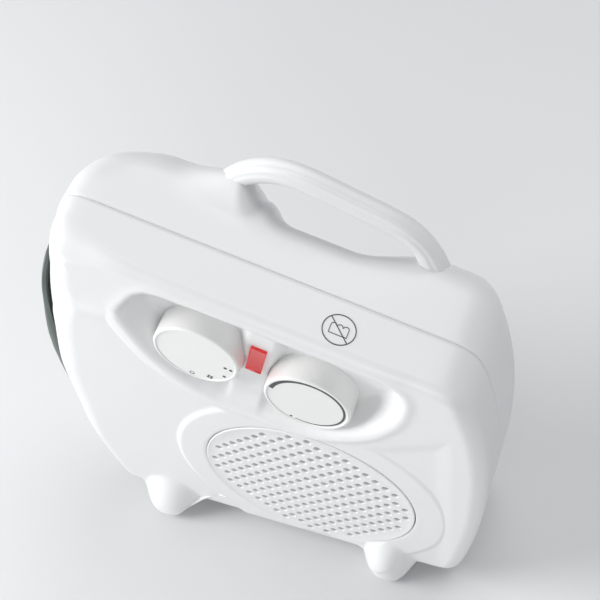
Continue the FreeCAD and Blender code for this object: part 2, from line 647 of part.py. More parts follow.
terminal_y = 22.0
terminal_z = 66.0
block_width, block_depth, block_height = 18.0, 14.0, 26.0
pole_pitch = 8.0
poles = [terminal_z + 5 + pole_pitch * i for i in range(3)]
well_depth = 8.0
terminal = Part.makeBox(block_width, block_depth, block_height,
                        Vector(gland_x - block_width / 2, terminal_y, terminal_z))
wells = [rod(2.6, gland_x, terminal_y - 1, terminal_y + well_depth, z) for z in poles]
node(made("terminal_block", terminal.cut(wells)), "terminal_block")
clamp_screws = [rod(2.2, gland_x, terminal_y + 3, terminal_y + well_depth, z) for z in poles]
node(made("terminal_screws", Part.makeCompound(clamp_screws)), "terminal_screws")

rib_width = 12.0    # narrower than the block, so that it clears the rear grille's seat
terminal_rib = Part.makeBox(rib_width, inner_rear - terminal_y - block_depth, block_height,
                            Vector(gland_x - rib_width / 2, terminal_y + block_depth, terminal_z))
node(made("terminal_bracket", terminal_rib), "terminal_bracket")


def wire(points, radius=1.1):
    """An insulated wire along straight runs joined by tangent arcs."""
    corners = [Vector(*p) for p in points]
    edges, here = [], corners[0]
    for before, corner, after in zip(corners, corners[1:], corners[2:]):
        inward = (before - corner).normalize()
        onward = (after - corner).normalize()
        half = inward.getAngle(onward) / 2
        reach = 0.4 * min(before.distanceToPoint(corner), after.distanceToPoint(corner))
        bend = reach * math.tan(half)
        start, end = corner + inward * reach, corner + onward * reach
        middle = corner + (inward + onward).normalize() * (bend / math.sin(half) - bend)
        if here.distanceToPoint(start) > 1e-6:
            edges.append(Part.LineSegment(here, start).toShape())
        edges.append(Part.Arc(start, middle, end).toShape())
        here = end
    edges.append(Part.LineSegment(here, corners[-1]).toShape())
    path = Part.Wire(edges)
    direction = (corners[1] - corners[0]).normalize()
    profile = Part.Wire([Part.makeCircle(radius, corners[0], direction)])
    return path.makePipeShell([profile], True, False)


TAB_PITCH = 8.5
tab_end = panel_floor + d.wall + 14 + 9
straight = 3.0      # each wire leaves its tab square to the tab's end


def leave(x, z):
    """The end of a wire on a tab, and the point that it runs straight back to."""
    return [(x, tab_end, z), (x, tab_end + straight, z)]


thermostat_left = leave(d.thermostat_x - TAB_PITCH, d.thermostat_z)
thermostat_right = leave(d.thermostat_x + TAB_PITCH, d.thermostat_z)
function_left = leave(d.function_x - TAB_PITCH, d.function_z)
function_right = leave(d.function_x + TAB_PITCH, d.function_z)
supply = [(gland_x, terminal_y - 0.2, poles[-1]), (gland_x, terminal_y - 5, poles[-1]),
          (gland_x, 10, poles[-1] + 12), (80, 6, 166),
          (d.thermostat_x + TAB_PITCH, tab_end + 9, d.thermostat_z + 6)] + thermostat_right[::-1]
link = thermostat_left + [(d.thermostat_x - TAB_PITCH, tab_end + 10, d.thermostat_z + 3),
                          (d.function_x + TAB_PITCH, tab_end + 10, d.function_z + 3)] + function_right[::-1]
motor_lead = function_left + [(d.function_x - TAB_PITCH, tab_end + 13, d.function_z - 8),
                              (-44, 18, 120), (-40, 24, 44), (d.air_x - 13, 24, 44)]
wires = [wire(route) for route in (supply, link, motor_lead)]
node(made("wiring", Part.makeCompound(wires)), "wiring")

# Checks and files

doc.recompute()
failed = [o.Name for o in doc.Objects if "Invalid" in o.State or "Error" in o.State]
if failed:
    raise RuntimeError(f"these objects failed: {failed}")
for obj in nodes:
    if obj.Shape.isNull() or not obj.Shape.isValid() or not obj.Shape.Solids:
        raise RuntimeError(f"{obj.Label} has no valid solid")

os.makedirs("parts", exist_ok=True)
for obj in nodes:
    obj.Shape.exportStep(os.path.join("parts", obj.Label + ".step"))
box = Part.makeCompound([obj.Shape for obj in nodes]).BoundBox
print(f"{len(nodes)} nodes, {box.XLength:.1f} x {box.YLength:.1f} x {box.ZLength:.1f} mm")
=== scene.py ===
import math

import bmesh
import bpy
import numpy as np
from mathutils import Matrix, Vector
from mathutils.bvhtree import BVHTree


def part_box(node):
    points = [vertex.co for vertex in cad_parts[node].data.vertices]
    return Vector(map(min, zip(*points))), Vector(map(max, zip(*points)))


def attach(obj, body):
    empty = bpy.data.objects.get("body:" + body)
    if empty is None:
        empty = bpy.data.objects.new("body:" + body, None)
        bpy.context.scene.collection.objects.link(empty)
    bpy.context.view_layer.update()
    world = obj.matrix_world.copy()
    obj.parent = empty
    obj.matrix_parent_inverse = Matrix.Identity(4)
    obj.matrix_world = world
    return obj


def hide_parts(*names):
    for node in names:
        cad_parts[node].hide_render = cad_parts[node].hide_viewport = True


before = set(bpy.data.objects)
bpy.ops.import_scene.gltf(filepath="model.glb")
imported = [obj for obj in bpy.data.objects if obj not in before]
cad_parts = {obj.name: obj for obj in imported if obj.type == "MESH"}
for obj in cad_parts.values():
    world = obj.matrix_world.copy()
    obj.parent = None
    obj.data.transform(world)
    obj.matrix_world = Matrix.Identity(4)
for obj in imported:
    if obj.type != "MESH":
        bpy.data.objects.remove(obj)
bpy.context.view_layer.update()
mm = 0.001  # shapes are worked out in millimetres and scaled at the end


# places read from the frame, in millimetres

def span(node):
    low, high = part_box(node)
    return low / mm, high / mm


def middle(node):
    low, high = span(node)
    return (low + high) / 2


grilleLow, grilleHigh = span("front_grille")
shellHigh = span("front_shell")[1]
rearHigh = span("rear_shell")[1]
airX = middle("front_grille").x
airZ = middle("front_grille").z
frontY = grilleLow.y            # the flat face that the outlet lies in
seamY = shellHigh.y             # where the two shells meet
functionAt = middle("function_knob")
thermostatAt = middle("thermostat_knob")
lampAt = middle("indicator_lens")
knobFace, knobBack = (corner.y for corner in span("function_knob"))
print("frame read", len(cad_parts), "nodes")


# small helpers

# Eases 0..1.
def smooth(value):
    value = np.clip(value, 0.0, 1.0)
    return value * value * (3 - 2 * value)


def bump(value, centre, width):
    return np.exp(-((value - centre) / width) ** 2)


# The vertices and edges that an extrusion has just made.
def freshOnes(geometry):
    verts = [item for item in geometry if isinstance(item, bmesh.types.BMVert)]
    known = set(verts)
    edges = [item for item in geometry if isinstance(item, bmesh.types.BMEdge) and set(item.verts) <= known]
    return verts, edges


# For each vertex of a ring, the new vertex that an extrusion has joined to it.
def nextRing(ring, verts):
    fresh = set(verts)
    return [next(e.other_vert(v) for e in v.link_edges if e.other_vert(v) in fresh) for v in ring]


# Turns a bmesh in millimetres into a piece that rides a body.
def finishPiece(name, bm, body, material, smoothAngle=40, replaced=()):
    bmesh.ops.scale(bm, vec=(mm, mm, mm), verts=bm.verts)
    bmesh.ops.recalc_face_normals(bm, faces=bm.faces)
    for face in bm.faces:
        face.smooth = True
    sharp = math.radians(smoothAngle)
    for edge in bm.edges:
        edge.smooth = len(edge.link_faces) == 2 and edge.calc_face_angle(0.0) < sharp
    mesh = bpy.data.meshes.new(name)
    bm.to_mesh(mesh)
    bm.free()
    piece = bpy.data.objects.new(name, mesh)
    bpy.context.scene.collection.objects.link(piece)
    mesh.materials.append(material)
    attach(piece, body)
    if replaced:
        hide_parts(*replaced)
    print("made", name, len(mesh.polygons), "faces")
    return piece


# materials

# A shader socket that can be used in plain arithmetic.
class Signal:
    def __init__(self, look, socket):
        self.look = look
        self.socket = socket

    def maths(self, operation, other):
        return self.look.node("ShaderNodeMath", {"operation": operation}, self, other)

    def __add__(self, other):
        return self.maths("ADD", other)

    def __mul__(self, other):
        return self.maths("MULTIPLY", other)

    __radd__ = __add__
    __rmul__ = __mul__


# A material under construction: its Principled shader and the nodes that feed it.
class Look:
    def __init__(self, name, **fixed):
        self.material = bpy.data.materials.new(name)
        self.material.use_nodes = True
        self.tree = self.material.node_tree
        self.shader = self.tree.nodes["Principled BSDF"]
        for socket, value in fixed.items():
            self.fix(socket.replace("_", " "), value)
        self.place = self.node("ShaderNodeTexCoord", {}, output="Object")

    def fix(self, socket, value):
        self.shader.inputs[socket].default_value = value

    def feed(self, socket, signal):
        self.tree.links.new(signal.socket, self.shader.inputs[socket])

    # Any node: its type, its settings and the values or links of its sockets.
    def node(self, kind, settings, *inputs, output=0, **named):
        made = self.tree.nodes.new(kind)
        for key, value in settings.items():
            setattr(made, key, value)
        for where, value in [*enumerate(inputs), *named.items()]:
            if isinstance(value, Signal):
                self.tree.links.new(value.socket, made.inputs[where])
            elif value is not None:
                made.inputs[where].default_value = value
        return Signal(self, made.outputs[output])

    def noise(self, scale, detail=3.0, roughness=0.5):
        return self.node("ShaderNodeTexNoise", {}, Vector=self.place, Scale=scale, Detail=detail,
                         Roughness=roughness, output="Fac")

    # The base colour, between two colours by a varying factor.
    def tint(self, factor, first, second):
        skipped = [None] * 5    # the mix node's sockets for numbers and vectors
        colours = [(*first, 1.0), (*second, 1.0)]
        mix = self.node("ShaderNodeMix", {"data_type": "RGBA"}, factor, *skipped, *colours, output=2)
        self.feed("Base Color", mix)

    def relief(self, height, strength, distance):
        self.feed("Normal", self.node("ShaderNodeBump", {}, Height=height, Strength=strength,
                                      Distance=distance, output="Normal"))


# Injection-moulded plastic: fine spark-eroded grain, slow flow variation in tint and gloss.
def mouldedPlastic(name, colour, darker, roughness, grain=900.0, coat=0.0):
    look = Look(name, Coat_Weight=coat)
    flow = look.noise(14.0, 2.0)
    fine = look.noise(grain, 2.0, 0.6)
    look.tint(flow, colour, darker)
    look.feed("Roughness", flow * 0.10 + (fine * 0.06 + (roughness - 0.08)))
    look.relief(fine, 0.10, 0.00004)
    return look.material


# Sheet or turned metal with a directional grain.
def plainMetal(name, colour, darker, roughness, grain=700.0, stretch=(1, 1, 1)):
    look = Look(name)
    along = look.node("ShaderNodeMapping", {}, Vector=look.place, Scale=stretch, output="Vector")
    fine = look.node("ShaderNodeTexNoise", {}, Vector=along, Scale=grain, Detail=3.0, output="Fac")
    look.tint(fine, colour, darker)
    look.fix("Metallic", 1.0)
    look.feed("Roughness", fine * 0.25 + roughness)
    look.relief(fine, 0.15, 0.00005)
    return look.material


def windingCopper(name):
    look = Look(name)
    turns = look.node("ShaderNodeTexWave", {"wave_type": "BANDS", "bands_direction": "X"},
                      Vector=look.place, Scale=420.0, Distortion=0.6, Detail=1.0, output="Fac")
    look.tint(turns, (0.50, 0.20, 0.07), (0.20, 0.07, 0.02))
    look.fix("Metallic", 0.85)
    look.feed("Roughness", turns * 0.2 + 0.28)
    look.relief(turns, 0.6, 0.0003)
    return look.material


def laminations(name):
    look = Look(name)
    sheets = look.node("ShaderNodeTexWave", {"wave_type": "BANDS", "bands_direction": "Y"},
                       Vector=look.place, Scale=320.0, Distortion=0.2, output="Fac")
    look.tint(sheets, (0.30, 0.30, 0.31), (0.14, 0.13, 0.13))
    look.fix("Metallic", 0.9)
    look.feed("Roughness", sheets * 0.2 + 0.4)
    look.relief(sheets, 0.5, 0.0002)
    return look.material


# The lens: translucent red with an even glow, its tint varying at random.
def glowingRed(name):
    look = Look(name, Coat_Weight=0.6, Specular_IOR_Level=0.5, Subsurface_Weight=0.25,
                Subsurface_Scale=0.002)
    cells = look.noise(260.0, 1.0)
    look.tint(cells, (0.50, 0.002, 0.004), (0.34, 0.001, 0.003))
    look.feed("Roughness", cells * 0.1 + 0.18)
    look.fix("Emission Color", (0.9, 0.01, 0.012, 1.0))
    look.fix("Emission Strength", 0.28)
    look.relief(cells, 0.25, 0.0002)
    return look.material


satinWhite = {"colour": (0.80, 0.802, 0.805), "darker": (0.778, 0.780, 0.783), "roughness": 0.36, "coat": 0.1}
whiteShell = mouldedPlastic("satinWhiteShell", **satinWhite)
whiteGrille = mouldedPlastic("satinWhiteGrille", **satinWhite)
whiteKnob = mouldedPlastic("warmWhiteKnob", (0.83, 0.826, 0.812), (0.808, 0.803, 0.788), 0.32, 1200.0, 0.15)
markGrey = mouldedPlastic("printedMarkGrey", (0.075, 0.080, 0.082), (0.055, 0.060, 0.062), 0.45)
intakeDark = mouldedPlastic("darkIntakePlastic", (0.125, 0.150, 0.138), (0.085, 0.105, 0.096), 0.42)
ductGrey = mouldedPlastic("ductGreyPlastic", (0.10, 0.10, 0.10), (0.07, 0.07, 0.07), 0.5)
blackPhenolic = mouldedPlastic("blackPhenolic", (0.035, 0.033, 0.032), (0.02, 0.02, 0.02), 0.48)
fanBlack = mouldedPlastic("glassFilledFan", (0.04, 0.04, 0.042), (0.022, 0.022, 0.024), 0.5, 500.0)
brownPhenolic = mouldedPlastic("brownPhenolic", (0.19, 0.08, 0.03), (0.12, 0.05, 0.02), 0.45)
ceramicGrey = mouldedPlastic("sinteredCeramic", (0.23, 0.21, 0.19), (0.15, 0.14, 0.13), 0.75, 1500.0)
nylonNatural = mouldedPlastic("naturalNylon", (0.62, 0.60, 0.54), (0.55, 0.53, 0.47), 0.4)
glandWhite = mouldedPlastic("glandWhite", (0.68, 0.68, 0.67), (0.62, 0.62, 0.61), 0.55, 600.0)
wireBlue = mouldedPlastic("wireBlue", (0.03, 0.07, 0.30), (0.02, 0.05, 0.22), 0.4, 600.0)
tubeGlass = mouldedPlastic("neonGlass", (0.75, 0.35, 0.22), (0.65, 0.28, 0.18), 0.12)
zincSheet = plainMetal("zincSheet", (0.58, 0.58, 0.57), (0.42, 0.42, 0.42), 0.30)
turnedSteel = plainMetal("turnedSteel", (0.60, 0.60, 0.61), (0.46, 0.46, 0.47), 0.16, 900.0, (1, 20, 1))
finAluminium = plainMetal("finAluminium", (0.72, 0.72, 0.73), (0.55, 0.55, 0.56), 0.28)
tinnedBrass = plainMetal("tinnedBrass", (0.66, 0.54, 0.30), (0.50, 0.40, 0.20), 0.25)
sinteredBronze = plainMetal("sinteredBronze", (0.42, 0.27, 0.12), (0.28, 0.17, 0.08), 0.4, 1500.0)
copperCoil = windingCopper("enamelledCopper")
coreSteel = laminations("stackedLaminations")
lensRed = glowingRed("indicatorRed")

nodeLooks = {
    "side_intake_grille": intakeDark, "rear_intake_grille": intakeDark,
    "function_shaft": blackPhenolic, "thermostat_shaft": turnedSteel,
    "function_switch": blackPhenolic, "thermostat_bimetal_switch": blackPhenolic,
    "function_terminals": tinnedBrass, "thermostat_terminals": tinnedBrass,
    "indicator_holder": blackPhenolic, "neon_lamp": tubeGlass, "air_duct": ductGrey,
    "heater_frame": zincSheet, "heater_fins": finAluminium, "ceramic_stones": ceramicGrey,
    "electrode_plates": turnedSteel, "thermal_cutout": brownPhenolic, "thermal_fuse": finAluminium,
    "fan_impeller": fanBlack, "fan_clip": turnedSteel, "motor_shaft": turnedSteel,
    "motor_rotor": coreSteel, "motor_stator": coreSteel, "motor_coil": copperCoil,
    "front_bearing": sinteredBronze, "rear_bearing": sinteredBronze, "front_bracket": zincSheet,
    "rear_bracket": zincSheet, "motor_mount": zincSheet, "motor_screws": zincSheet,
    "case_screws": zincSheet, "cord_gland": glandWhite, "terminal_block": nylonNatural,
    "terminal_screws": tinnedBrass, "terminal_bracket": ductGrey, "wiring": wireBlue,
    "front_shell": whiteShell, "rear_shell": whiteShell, "front_grille": whiteGrille,
    "function_knob": whiteKnob, "thermostat_knob": whiteKnob, "indicator_lens": lensRed,
}
for nodeName, material in nodeLooks.items():
    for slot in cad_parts[nodeName].material_slots:
        slot.material = material
print("materials ready")


# the body's outline, as a radius round the air axis for each direction

body = {
    "around": 600,          # points round every ring
    "slope": 0.29, "topLine": 273.0, "shoulderX": -76.5,
    "left": -121.5, "right": 128.5, "base": 10.0,
    "leftWideZ": 115.0, "rightWideZ": 140.0,
    "leftBows": (400.0, 350.0), "rightBows": (536.0, 241.0),
    "cornerRadius": 15.0, "softening": 1.45, "wall": 2.4,
}
feet = {
    "centres": (-71.5, 71.0), "halfWidths": (21.0, 17.0), "drop": 10.0, "reach": 13.6, "height": 31.0,
    "margin": 3.0, "soleZ": 5.0,                # spread of the drop, height of the full reach
    "dropFrom": 7.0, "dropOver": 24.0,          # heights over the base between which the drop fades
}


def topHeight(x):
    return body["topLine"] - body["slope"] * (x - body["shoulderX"])


def sideX(wide, wideZ, bows, sign, z):
    bow = np.where(z < wideZ, bows[0], bows[1])
    return wide + sign * (bow - np.sqrt(bow ** 2 - (z - wideZ) ** 2))


# A dense closed outline with sharp corners, counter-clockwise from the lower right.
def outlinePoints():
    zs = np.linspace(body["base"], 300, 1200)
    rightXs = sideX(body["right"], body["rightWideZ"], body["rightBows"], -1, zs)
    leftXs = sideX(body["left"], body["leftWideZ"], body["leftBows"], 1, zs)
    right = np.c_[rightXs, zs][zs < topHeight(rightXs)]
    left = np.c_[leftXs, zs][zs < topHeight(leftXs)][::-1]
    top = np.linspace(right[-1], left[0], 500)[1:-1]
    bottom = np.linspace(left[-1], right[0], 600)[1:-1]
    return np.concatenate([right, top, left, bottom])


# The outline with its corners rounded by a running mean about as wide as a corner's arc.
def roundedOutline():
    points = outlinePoints()
    closed = np.vstack([points, points[:1]])
    length = np.hypot(*np.diff(closed, axis=0).T)
    total = length.sum()
    at = np.r_[0, np.cumsum(length)]
    even = np.linspace(0, total, 4001)[:-1]
    line = np.c_[np.interp(even, at, closed[:, 0]), np.interp(even, at, closed[:, 1])]
    window = int(body["cornerRadius"] * body["softening"] * len(line) / total)
    kernel = np.hanning(2 * window + 1)
    kernel /= kernel.sum()
    padded = np.vstack([line[-window:], line, line[:window]])
    return np.c_[np.convolve(padded[:, 0], kernel, "valid"), np.convolve(padded[:, 1], kernel, "valid")]


outline = roundedOutline()
ahead = np.roll(outline, -1, 0) - np.roll(outline, 1, 0)
outward = np.c_[ahead[:, 1], -ahead[:, 0]] / np.hypot(*ahead.T)[:, None]
angles = np.linspace(0, 2 * math.pi, body["around"], endpoint=False)


# 1 under a foot, falling to 0 beside it.
def footLobe(x):
    return sum(smooth((1 - ((x - centre) / (width + feet["margin"])) ** 2) / 1.1)
               for centre, width in zip(feet["centres"], feet["halfWidths"]))


# How far a toe stands proud of the wall, a soft dome that is fullest near the table.
def toeSwell(x, z):
    swell = 0
    for centre, width in zip(feet["centres"], feet["halfWidths"]):
        away = ((x - centre) / width) ** 2 + (np.maximum(z - feet["soleZ"], 0) / feet["height"]) ** 2
        swell = swell + feet["reach"] * smooth((1 - away) / 1.15)
    return swell


# The outline moved in by inset (a number or one per outline point), as a radius per angle.
def ringRadii(inset, lobe=0.0):
    moved = outline - outward * np.reshape(inset, (-1, 1))
    under = np.clip((moved[:, 1] - body["base"] - feet["dropFrom"]) / feet["dropOver"], 0, 1)
    moved[:, 1] -= lobe * feet["drop"] * footLobe(moved[:, 0]) * (1 - under) ** 2
    theta = np.mod(np.arctan2(moved[:, 1] - airZ, moved[:, 0] - airX), 2 * math.pi)
    radius = np.hypot(moved[:, 1] - airZ, moved[:, 0] - airX)
    order = np.argsort(theta)
    return np.interp(angles, theta[order], radius[order], period=2 * math.pi)


def ringPlaces(radii):
    return airX + radii * np.cos(angles), airZ + radii * np.sin(angles)


# Signed distance to a closed polygon whose corners are rounded, negative inside.
def insideDistance(x, z, corners, rounding):
    points = np.array(corners, float)
    best = np.full(x.shape, 1e9)
    inside = np.zeros(x.shape, bool)
    for a, b in zip(points, np.roll(points, -1, 0)):
        edge = b - a
        t = np.clip(((x - a[0]) * edge[0] + (z - a[1]) * edge[1]) / (edge @ edge), 0, 1)
        best = np.minimum(best, np.hypot(x - a[0] - t * edge[0], z - a[1] - t * edge[1]))
        crosses = (a[1] > z) != (b[1] > z)
        with np.errstate(divide="ignore", invalid="ignore"):
            where = a[0] + (z - a[1]) * edge[0] / edge[1]
        inside ^= crosses & (x < where)
    return np.where(inside, -best, best) - rounding


panel = {
    # the swoosh round the controls, drawn in from its rim by the rounding
    "corners": [(-49.5, 222.0), (-34.0, 242.5), (-20.0, 239.5), (8.0, 232.5), (54.0, 219.5), (80.0, 211.5),
                (82.5, 204.0), (78.0, 186.0), (64.0, 166.0), (41.0, 154.0), (22.0, 154.5), (-19.0, 166.0),
                (-39.5, 188.0), (-49.5, 217.0)],
    "rounding": 6.5, "depth": 14.5, "tightLip": 5.5, "softLip": 15.0, "bead": 0.7,
    "wellRadius": 24.8, "wellDepth": 16.0, "wellWall": 3.2, "bridgeDepth": 8.7, "bridgeWidth": 8.0,
}
relief = {
    # the sunk field between the outlet's boss, the panel's rim, the right strip and an upper border
    "step": 1.5, "bossRadius": 77.5, "bossSoft": 4, "rim": 6.5, "rimSoft": 5,
    "rightStrip": 112.0, "stripSoft": 11, "fadeFrom": 30, "fadeOver": 50,
    # the upper border: left of one place, right of another, and level between them
    "leftOf": -20, "leftX": -58, "leftZ": 221.0, "leftRise": 0.12, "leftSoft": 13,
    "rightOf": 60, "rightX": 84.6, "rightZ": 163, "rightRise": 0.65, "rightSoft": 12, "middleZ": 190,
    # the crease that runs from the panel to the left edge
    "creaseX": -100, "creaseZ": 220, "creaseRise": 0.05, "creaseWidth": 9, "creaseDepth": 1.6,
    "creaseFrom": -52, "creaseOver": 40,
}
frontEdge = {"least": 8.5, "left": 10.5, "top": 6.2, "toe": 6.0}     # radii of the front's rounded edge


# A closed polygon with each corner cut off twice, which leaves soft bends.
def cornersCut(corners, share=0.22, rounds=2):
    for _ in range(rounds):
        cut = []
        for (x0, z0), (x1, z1) in zip(corners, corners[1:] + corners[:1]):
            cut.append((x0 + (x1 - x0) * share, z0 + (z1 - z0) * share))
            cut.append((x1 + (x0 - x1) * share, z1 + (z0 - z1) * share))
        corners = cut
    return corners


panelOutline = cornersCut(panel["corners"])


# Depth of the recess: a dish with a round well for each knob and a bridge that carries the lamp.
def panelDepth(x, z):
    sd = insideDistance(x, z, panelOutline, panel["rounding"])
    low = smooth((topHeight(x) - 26 - z) / 40)
    lip = panel["tightLip"] + (panel["softLip"] - panel["tightLip"]) * low
    inside = smooth(-sd / lip)
    fromLamp = np.abs(x - lampAt.x - body["slope"] * (z - lampAt.z))
    bridge = smooth((panel["bridgeWidth"] + 5 - fromLamp) / 6)
    dish = inside * (panel["depth"] - (panel["depth"] - panel["bridgeDepth"]) * bridge)
    for knob in (functionAt, thermostatAt):
        reach = np.hypot(x - knob.x, z - knob.z)
        well = panel["wellDepth"] * smooth((panel["wellRadius"] - reach) / panel["wellWall"])
        dish = np.maximum(dish, well * smooth((2 - sd) / 4))
    return dish - panel["bead"] * bump(sd, 2.2, 2.4)


# Depth of the front's outer surface at x, z, before its edges are rounded.
def frontFace(x, z):
    boss = (np.hypot(x - airX, z - airZ) - relief["bossRadius"]) / relief["bossSoft"]
    rim = (insideDistance(x, z, panelOutline, panel["rounding"]) - relief["rim"]) / relief["rimSoft"]
    strip = (relief["rightStrip"] - x) / relief["stripSoft"]
    left = (relief["leftZ"] - z + relief["leftRise"] * (x - relief["leftX"])) / relief["leftSoft"]
    right = (relief["rightZ"] + relief["rightRise"] * (x - relief["rightX"]) - z) / relief["rightSoft"]
    upper = np.select([x < relief["leftOf"], x > relief["rightOf"]], [left, right], relief["middleZ"] - z)
    field = relief["step"] * smooth(np.minimum(np.minimum(boss, rim), np.minimum(strip, upper)))
    field = field * (1 - 0.5 * smooth((x - relief["fadeFrom"]) / relief["fadeOver"]))
    creaseLine = relief["creaseZ"] + relief["creaseRise"] * (x - relief["creaseX"])
    crease = relief["creaseDepth"] * bump(z, creaseLine, relief["creaseWidth"])
    crease = crease * smooth((relief["creaseFrom"] - x) / relief["creaseOver"])
    return frontY + field + crease + panelDepth(x, z) - toeSwell(x, z)


# Radius of the front's rounded edge at each outline point: soft on the left, tight elsewhere.
def edgeRound():
    leftness = smooth((-40 - outline[:, 0]) / 60)
    upness = smooth((outline[:, 1] - 60) / 60)
    nearTop = smooth((outline[:, 1] - topHeight(outline[:, 0]) + 12) / 10)
    topness = nearTop * smooth((outline[:, 0] + 66) / 30)
    atToe = footLobe(outline[:, 0]) * smooth((24 - outline[:, 1]) / 12)
    radius = frontEdge["least"] + frontEdge["left"] * leftness * (0.35 + 0.65 * upness)
    radius = radius + (frontEdge["top"] - radius) * topness
    return radius + (frontEdge["toe"] - radius) * atToe


# How far a rounded edge has moved in at a depth measured from the flat face.
def roundedInset(radius, depth):
    return radius - np.sqrt(radius ** 2 - np.clip(radius - depth, 0, radius) ** 2)


# A surface grown ring by ring, every ring with the same number of points.
class Skin:
    def __init__(self, x, y, z):
        self.bm = bmesh.new()
        self.ring = bmesh.ops.create_circle(self.bm, segments=body["around"], radius=1.0)["verts"]
        self.ring.sort(key=lambda v: math.atan2(v.co.y, v.co.x) % (2 * math.pi))
        self.edges = list(self.bm.edges)
        self.put(x, y, z)

    def put(self, x, y, z):
        for vert, a, b, c in zip(self.ring, x, np.broadcast_to(y, x.shape), z):
            vert.co = (a, b, c)

    def grow(self, x, y, z):
        made = bmesh.ops.extrude_edge_only(self.bm, edges=self.edges)["geom"]
        verts, self.edges = freshOnes(made)
        self.ring = nextRing(self.ring, verts)
        self.put(x, y, z)

    def close(self, firstEdges):
        bmesh.ops.bridge_loops(self.bm, edges=self.edges + firstEdges)


waist = {"pull": 3.4, "pullFrom": 132, "pullOver": 50, "notch": 5.5, "notchZ": 217, "notchWidth": 15}


# The notch above the left lobe, fading out before the seam and over the front face.
def waisted(x, y, z):
    pulledIn = waist["pull"] * smooth((z - waist["pullFrom"]) / waist["pullOver"])
    pulledIn = pulledIn + waist["notch"] * bump(z, waist["notchZ"], waist["notchWidth"])
    return x + pulledIn * smooth((-62 - x) / 42) * (1 - smooth((y + 20) / 12))


def frontShell():
    holeRadius = grilleHigh.x - airX + 0.35
    edgeRadius = edgeRound()
    x, z = ringPlaces(np.full(body["around"], holeRadius))
    skin = Skin(x, frontY + body["wall"], z)
    first = list(skin.edges)
    for out, down in ((0.0, 0.9), (0.3, 0.35), (0.9, 0.08)):
        x, z = ringPlaces(np.full(body["around"], holeRadius + out))
        skin.grow(x, frontY + down, z)
    x, z = ringPlaces(np.full(body["around"], holeRadius + 1.6))
    skin.grow(x, frontFace(x, z), z)
    # across the front, rings turn from circles into the body's outline
    faceEdge = ringRadii(edgeRadius, lobe=1.0)
    rings = 96
    for step in range(1, rings + 1):
        share = step / rings
        radii = holeRadius + 1.6 + (faceEdge - holeRadius - 1.6) * share
        x, z = ringPlaces(radii)
        skin.grow(waisted(x, frontY, z), frontFace(x, z), z)
    edgeDepth = frontFace(x, z)
    # round the edge, then back along the side wall
    turns = 9
    radiusHere = np.interp(angles, *sortedByAngle(edgeRadius))
    for step in range(1, turns + 1):
        turn = step / turns * math.pi / 2
        radii = ringRadii(edgeRadius * (1 - math.sin(turn)), lobe=1.0)
        x, z = ringPlaces(radii)
        y = edgeDepth + radiusHere * (1 - math.cos(turn))
        skin.grow(waisted(x, y, z), y, z)
    wallStart = edgeDepth + radiusHere
    rows = 12
    for step in range(1, rows + 1):
        share = step / rows
        radii = ringRadii(0.0, lobe=1.0 - smooth(share * 1.4))
        x, z = ringPlaces(radii)
        y = wallStart + (seamY - 0.55 - wallStart) * share
        skin.grow(waisted(x, y, z), y, z)
    # the parting line is a small rounded-over step
    x, z = ringPlaces(ringRadii(0.4))
    skin.grow(x, seamY - 0.05, z)
    x, z = ringPlaces(ringRadii(body["wall"]))
    skin.grow(x, seamY - 0.05, z)
    for depth in (20.0, 13.0, 8.0, 5.0):
        x, z = ringPlaces(ringRadii(body["wall"] + roundedInset(edgeRadius, depth - body["wall"])))
        skin.grow(x, frontY + depth + relief["step"], z)
    innerEdge = ringRadii(edgeRadius + 3)
    inner = 30
    for step in range(inner, -1, -1):
        share = step / inner
        radii = holeRadius + 1.0 + (innerEdge - holeRadius - 1.0) * share
        x, z = ringPlaces(radii)
        skin.grow(x, np.maximum(frontFace(x, z), frontY) + body["wall"], z)
    skin.close(first)
    return skin.bm


def sortedByAngle(values):
    theta = np.mod(np.arctan2(outline[:, 1] - airZ, outline[:, 0] - airX), 2 * math.pi)
    order = np.argsort(theta)
    return theta[order], np.asarray(values)[order]


finishPiece("front_cover", frontShell(), "housing", whiteShell, 50, ("front_shell",))


# rear shell: the same rings, turned round, with a finger scoop under the handle

grip = {
    "fromX": -13.0, "leftBlend": 30.0, "toX": 86.0, "rightBlend": 40.0, "lipY": 28.3,
    "path": [(-40, 22, 230), (-27, 28, 247), (-14, 32, 260), (0, 32.5, 267.2), (12, 32.5, 269),
             (22, 32.5, 266.2), (46, 32.5, 255.4), (67, 32.5, 246.4), (76.5, 32.5, 240), (82, 32.2, 229),
             (85.5, 31, 214), (86, 30, 204)],
    "height": 5.3, "depth": 6.1, "squareness": 2.6, "flute": 0.085,
    "rampHeight": 10.0, "nubX": 3.5, "nubReach": 3.2,
}
rearBack = rearHigh.y - 6.0     # the toes reach 6 mm further back than the wall
rearRound = {"low": 9.0, "top": 24.0}


# Radius of the rear's rounded edge at each outline point: tight below, broad above.
def rearEdge():
    return rearRound["low"] + (rearRound["top"] - rearRound["low"]) * smooth((outline[:, 1] - 40) / 90)


